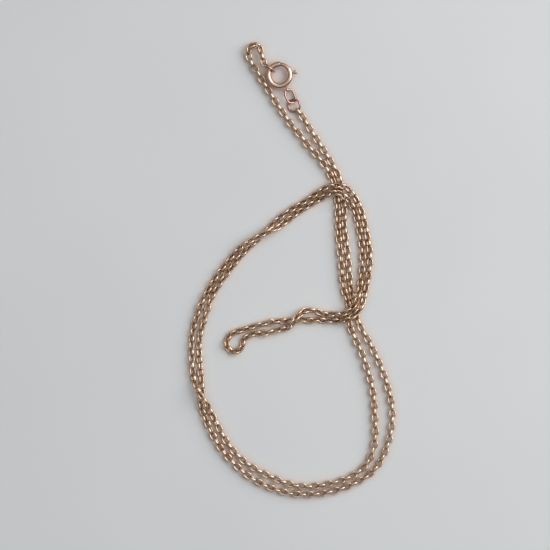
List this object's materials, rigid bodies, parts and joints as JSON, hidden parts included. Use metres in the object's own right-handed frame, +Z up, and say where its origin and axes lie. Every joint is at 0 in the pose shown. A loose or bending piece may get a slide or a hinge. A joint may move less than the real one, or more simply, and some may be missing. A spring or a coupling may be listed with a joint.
{
  "type": "chain necklace",
  "caption": "Fine round-wire cable chain necklace, doubled and folded flat, closed by a spring bolt ring with jump rings and a sliding bolt.",
  "frame": {"origin": "centre of the laid-out necklace's footprint, on the surface it rests on", "axes": "+Z up from the surface, +Y from the bottom of the main loop towards the clasp, +X to the right seen from above"},
  "size_m": [0.0414, 0.091, 0.0032],
  "materials": {
    "chain_rose_gold": "polished rose gold",
    "clasp_rose_gold": "polished rose gold",
    "jump_ring_rose_gold": "polished rose gold",
    "spring_steel": "drawn spring wire"
  },
  "bodies": {
    "bottom_curve": {"chain_bottom_curve": "chain_rose_gold"},
    "right_loop_1": {"chain_right_loop_1": "chain_rose_gold"},
    "right_loop_2": {"chain_right_loop_2": "chain_rose_gold"},
    "right_loop_3": {"chain_right_loop_3": "chain_rose_gold"},
    "right_loop_4": {"chain_right_loop_4": "chain_rose_gold"},
    "right_loop_5": {"chain_right_loop_5": "chain_rose_gold"},
    "lower_crossing_under": {"chain_lower_crossing_under": "chain_rose_gold"},
    "inner_vertical_1": {"chain_inner_vertical_1": "chain_rose_gold"},
    "inner_vertical_2": {"chain_inner_vertical_2": "chain_rose_gold"},
    "upper_crossing_under": {"chain_upper_crossing_under": "chain_rose_gold"},
    "clasp_end_run_1": {"chain_clasp_end_run_1": "chain_rose_gold"},
    "clasp_end_run_2": {"chain_clasp_end_run_2": "chain_rose_gold"},
    "clasp_end_run_3": {"chain_clasp_end_run_3": "chain_rose_gold"},
    "left_loop_1": {"chain_left_loop_1": "chain_rose_gold"},
    "left_loop_2": {"chain_left_loop_2": "chain_rose_gold"},
    "left_loop_3": {"chain_left_loop_3": "chain_rose_gold"},
    "left_loop_4": {"chain_left_loop_4": "chain_rose_gold"},
    "left_loop_5": {"chain_left_loop_5": "chain_rose_gold"},
    "left_loop_6": {"chain_left_loop_6": "chain_rose_gold"},
    "left_loop_7": {"chain_left_loop_7": "chain_rose_gold"},
    "left_loop_8": {"chain_left_loop_8": "chain_rose_gold"},
    "upper_crossing_over": {"chain_upper_crossing_over": "chain_rose_gold"},
    "outer_vertical_1": {"chain_outer_vertical_1": "chain_rose_gold"},
    "outer_vertical_2": {"chain_outer_vertical_2": "chain_rose_gold"},
    "lower_crossing_over": {"chain_lower_crossing_over": "chain_rose_gold"},
    "tail_run_1": {"chain_tail_run_1": "chain_rose_gold"},
    "tail_run_2": {"chain_tail_run_2": "chain_rose_gold"},
    "tail_fold": {"chain_tail_fold": "chain_rose_gold"},
    "round_jump_ring": {"round_jump_ring": "jump_ring_rose_gold"},
    "oval_jump_ring": {"oval_jump_ring": "jump_ring_rose_gold"},
    "bolt_ring": {"bolt_ring_body": "clasp_rose_gold", "coil_spring": "spring_steel"},
    "bolt": {"bolt": "clasp_rose_gold", "trigger_knob": "clasp_rose_gold"},
    "end_jump_ring": {"end_jump_ring": "jump_ring_rose_gold"}
  },
  "joints": [
    {"name": "fold_right_loop_1", "type": "hinge", "parent": "bottom_curve", "child": "right_loop_1", "pos_m": [0, -0.03738, 0.0007], "axis": [1, 0, 0], "range_deg": [-10, 10]},
    {"name": "fold_left_loop_1", "type": "hinge", "parent": "bottom_curve", "child": "left_loop_1", "pos_m": [0, -0.03738, 0.0007], "axis": [1, 0, 0], "range_deg": [-10, 10]},
    {"name": "fold_right_loop_2", "type": "hinge", "parent": "right_loop_1", "child": "right_loop_2", "pos_m": [0, -0.03318, 0.0007], "axis": [1, 0, 0], "range_deg": [-12, 12]},
    {"name": "fold_left_loop_2", "type": "hinge", "parent": "left_loop_1", "child": "left_loop_2", "pos_m": [0, -0.03318, 0.0007], "axis": [1, 0, 0], "range_deg": [-12, 12]},
    {"name": "fold_right_loop_3", "type": "hinge", "parent": "right_loop_2", "child": "right_loop_3", "pos_m": [0, -0.02878, 0.00067], "axis": [1, 0, 0], "range_deg": [-10, 10]},
    {"name": "fold_left_loop_3", "type": "hinge", "parent": "left_loop_2", "child": "left_loop_3", "pos_m": [0, -0.02878, 0.00067], "axis": [1, 0, 0], "range_deg": [-10, 10]},
    {"name": "fold_right_loop_4", "type": "hinge", "parent": "right_loop_3", "child": "right_loop_4", "pos_m": [0, -0.02118, 0.00068], "axis": [1, 0, 0], "range_deg": [-12, 12]},
    {"name": "fold_left_loop_4", "type": "hinge", "parent": "left_loop_3", "child": "left_loop_4", "pos_m": [0, -0.02118, 0.00068], "axis": [1, 0, 0], "range_deg": [-12, 12]},
    {"name": "fold_right_loop_5", "type": "hinge", "parent": "right_loop_4", "child": "right_loop_5", "pos_m": [0, -0.01638, 0.00063], "axis": [1, 0, 0], "range_deg": [-12, 12]},
    {"name": "fold_left_loop_5", "type": "hinge", "parent": "left_loop_4", "child": "left_loop_5", "pos_m": [0, -0.01638, 0.00063], "axis": [1, 0, 0], "range_deg": [-12, 12]},
    {"name": "fold_lower_crossing_under", "type": "hinge", "parent": "right_loop_5", "child": "lower_crossing_under", "pos_m": [0, -0.01278, 0.00062], "axis": [1, 0, 0], "range_deg": [-12, 12]},
    {"name": "fold_left_loop_6", "type": "hinge", "parent": "left_loop_5", "child": "left_loop_6", "pos_m": [0, -0.01278, 0.00062], "axis": [1, 0, 0], "range_deg": [-12, 12]},
    {"name": "fold_inner_vertical_1", "type": "hinge", "parent": "lower_crossing_under", "child": "inner_vertical_1", "pos_m": [0, -0.00198, 0.00064], "axis": [1, 0, 0], "range_deg": [-12, 12]},
    {"name": "fold_left_loop_7", "type": "hinge", "parent": "left_loop_6", "child": "left_loop_7", "pos_m": [0, -0.00198, 0.00064], "axis": [1, 0, 0], "range_deg": [-12, 12]},
    {"name": "fold_inner_vertical_2", "type": "hinge", "parent": "inner_vertical_1", "child": "inner_vertical_2", "pos_m": [0, 0.00122, 0.00066], "axis": [1, 0, 0], "range_deg": [-10, 10]},
    {"name": "fold_left_loop_8", "type": "hinge", "parent": "left_loop_7", "child": "left_loop_8", "pos_m": [0, 0.00122, 0.00066], "axis": [1, 0, 0], "range_deg": [-10, 10]},
    {"name": "fold_upper_crossing_under", "type": "hinge", "parent": "inner_vertical_2", "child": "upper_crossing_under", "pos_m": [0, 0.01042, 0.0006], "axis": [1, 0, 0], "range_deg": [-10, 10]},
    {"name": "fold_upper_crossing_over", "type": "hinge", "parent": "left_loop_8", "child": "upper_crossing_over", "pos_m": [0, 0.01042, 0.0006], "axis": [1, 0, 0], "range_deg": [-10, 10]},
    {"name": "fold_outer_vertical_1", "type": "hinge", "parent": "upper_crossing_over", "child": "outer_vertical_1", "pos_m": [0, 0.01042, 0.0006], "axis": [1, 0, 0], "range_deg": [-10, 10]},
    {"name": "fold_outer_vertical_2", "type": "hinge", "parent": "outer_vertical_1", "child": "outer_vertical_2", "pos_m": [0, 0.00122, 0.00066], "axis": [1, 0, 0], "range_deg": [-10, 10]},
    {"name": "fold_lower_crossing_over", "type": "hinge", "parent": "outer_vertical_2", "child": "lower_crossing_over", "pos_m": [0, -0.00198, 0.00064], "axis": [1, 0, 0], "range_deg": [-12, 12]},
    {"name": "fold_clasp_end_run_1", "type": "hinge", "parent": "upper_crossing_under", "child": "clasp_end_run_1", "pos_m": [0.00799, 0.01982, 0.00067], "axis": [0.8383, 0.5452, 0], "range_deg": [-12, 12]},
    {"name": "fold_clasp_end_run_2", "type": "hinge", "parent": "clasp_end_run_1", "child": "clasp_end_run_2", "pos_m": [0.00507, 0.02417, 0.00071], "axis": [0.8383, 0.5452, 0], "range_deg": [-12, 12]},
    {"name": "fold_clasp_end_run_3", "type": "hinge", "parent": "clasp_end_run_2", "child": "clasp_end_run_3", "pos_m": [0.00276, 0.02735, 0.00071], "axis": [0.8383, 0.5452, 0], "range_deg": [-12, 12]},
    {"name": "fold_tail_run_1", "type": "hinge", "parent": "lower_crossing_over", "child": "tail_run_1", "pos_m": [0.00495, -0.0091, 0.00061], "axis": [0, 1, 0], "range_deg": [-12, 12]},
    {"name": "fold_tail_run_2", "type": "hinge", "parent": "tail_run_1", "child": "tail_run_2", "pos_m": [-0.0025, -0.01106, 0.00064], "axis": [0, 1, 0], "range_deg": [-12, 12]},
    {"name": "fold_tail_fold", "type": "hinge", "parent": "tail_run_2", "child": "tail_fold", "pos_m": [-0.00634, -0.01179, 0.00062], "axis": [0, 1, 0], "range_deg": [-12, 12]},
    {"name": "swing_round_jump_ring", "type": "hinge", "parent": "clasp_end_run_3", "child": "round_jump_ring", "pos_m": [0.00119, 0.03196, 0.00119], "axis": [-0.5731, 0.8194, 0.0087], "range_deg": [-10, 10]},
    {"name": "swing_oval_jump_ring", "type": "hinge", "parent": "round_jump_ring", "child": "oval_jump_ring", "pos_m": [0.00051, 0.03402, 0.00074], "axis": [-0.5731, 0.8194, 0.0087], "range_deg": [-5, 8]},
    {"name": "swing_bolt_ring", "type": "hinge", "parent": "oval_jump_ring", "child": "bolt_ring", "pos_m": [-0.0008, 0.0359, 0.00095], "axis": [-0.5731, 0.8194, 0.0087], "range_deg": [-5, 8]},
    {"name": "shift_end_jump_ring", "type": "hinge", "parent": "bolt_ring", "child": "end_jump_ring", "pos_m": [-0.00257, 0.03898, 0.00114], "axis": [0, 0, 1], "range_deg": [-2, 2]},
    {"name": "trigger", "type": "hinge", "parent": "bolt_ring", "child": "bolt", "pos_m": [-0.00257, 0.03898, 0.00114], "axis": [0, 0, 1], "range_deg": [-55, 0], "deforming": ["coil_spring"]}
  ],
  "couplings": [
    {"joint": "fold_left_loop_1", "follows": "fold_right_loop_1", "ratio": 1},
    {"joint": "fold_left_loop_2", "follows": "fold_right_loop_2", "ratio": 1},
    {"joint": "fold_left_loop_3", "follows": "fold_right_loop_3", "ratio": 1},
    {"joint": "fold_left_loop_4", "follows": "fold_right_loop_4", "ratio": 1},
    {"joint": "fold_left_loop_5", "follows": "fold_right_loop_5", "ratio": 1},
    {"joint": "fold_left_loop_6", "follows": "fold_lower_crossing_under", "ratio": 1},
    {"joint": "fold_left_loop_7", "follows": "fold_inner_vertical_1", "ratio": 1},
    {"joint": "fold_left_loop_8", "follows": "fold_inner_vertical_2", "ratio": 1},
    {"joint": "fold_upper_crossing_over", "follows": "fold_upper_crossing_under", "ratio": 1},
    {"joint": "fold_outer_vertical_1", "follows": "fold_upper_crossing_under", "ratio": -1},
    {"joint": "fold_outer_vertical_2", "follows": "fold_inner_vertical_2", "ratio": -1},
    {"joint": "fold_lower_crossing_over", "follows": "fold_inner_vertical_1", "ratio": -1}
  ]
}
